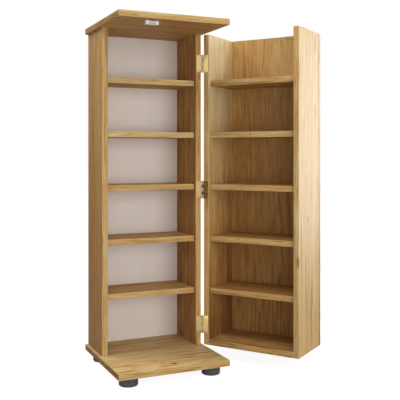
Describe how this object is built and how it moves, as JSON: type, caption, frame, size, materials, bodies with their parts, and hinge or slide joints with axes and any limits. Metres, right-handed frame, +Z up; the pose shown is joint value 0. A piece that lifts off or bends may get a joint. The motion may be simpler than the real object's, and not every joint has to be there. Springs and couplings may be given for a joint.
{
  "type": "disc storage tower",
  "caption": "Free-standing shelved tower for discs, with overhanging top and base boards on round feet and a shelved door box on butt hinges.",
  "frame": {"origin": "on the floor, at the middle of the whole part's footprint with the door open as it stands", "axes": "+Z up, +X to the right and +Y to the back as seen from the cabinet's front"},
  "size_m": [0.6124, 0.3846, 0.95],
  "materials": {
    "oak": "golden oak grain on flat board, satin",
    "backing": "thin hardboard with a pale face, matt",
    "brass": "pale brass plating, satin",
    "steel": "bright zinc plating",
    "white_plastic": "moulded white plastic",
    "grey_plastic": "moulded dark grey plastic",
    "ferrite": "sintered, matt black"
  },
  "bodies": {
    "cabinet": {"back_panel": "backing", "base_board": "oak", "base_screw_back_left": "steel", "base_screw_back_right": "steel", "base_screw_front_left": "steel", "base_screw_front_right": "steel", "catch_housing": "white_plastic", "catch_lower_pole_plate": "steel", "catch_magnet": "ferrite", "catch_screw_left": "steel", "catch_screw_right": "steel", "catch_upper_pole_plate": "steel", "foot_back_left": "grey_plastic", "foot_back_right": "grey_plastic", "foot_front_left": "grey_plastic", "foot_front_right": "grey_plastic", "foot_screw_back_left": "steel", "foot_screw_back_right": "steel", "foot_screw_front_left": "steel", "foot_screw_front_right": "steel", "left_side_panel": "oak", "low_hinge_cabinet_leaf": "brass", "low_hinge_cabinet_screw_high": "brass", "low_hinge_cabinet_screw_low": "brass", "low_hinge_pin": "brass", "middle_hinge_cabinet_leaf": "brass", "middle_hinge_cabinet_screw_high": "brass", "middle_hinge_cabinet_screw_low": "brass", "middle_hinge_pin": "brass", "right_side_panel": "oak", "shelf_1": "oak", "shelf_2": "oak", "shelf_3": "oak", "shelf_4": "oak", "shelf_5": "oak", "top_board": "oak", "top_hinge_cabinet_leaf": "brass", "top_hinge_cabinet_screw_high": "brass", "top_hinge_cabinet_screw_low": "brass", "top_hinge_pin": "brass"},
    "door": {"door_bottom_board": "oak", "door_face_board": "oak", "door_free_side_panel": "oak", "door_hinge_side_panel": "oak", "door_shelf_1": "oak", "door_shelf_2": "oak", "door_shelf_3": "oak", "door_shelf_4": "oak", "door_shelf_5": "oak", "low_hinge_door_leaf": "brass", "low_hinge_door_screw_high": "brass", "low_hinge_door_screw_low": "brass", "middle_hinge_door_leaf": "brass", "middle_hinge_door_screw_high": "brass", "middle_hinge_door_screw_low": "brass", "strike_plate": "steel", "strike_screw": "steel", "top_hinge_door_leaf": "brass", "top_hinge_door_screw_high": "brass", "top_hinge_door_screw_low": "brass"}
  },
  "joints": [
    {"name": "door_hinge", "type": "hinge", "parent": "cabinet", "child": "door", "pos_m": [-0.0002, 0.048, 0], "axis": [0, 0, 1], "range_deg": [-125.5, 26.5]}
  ]
}
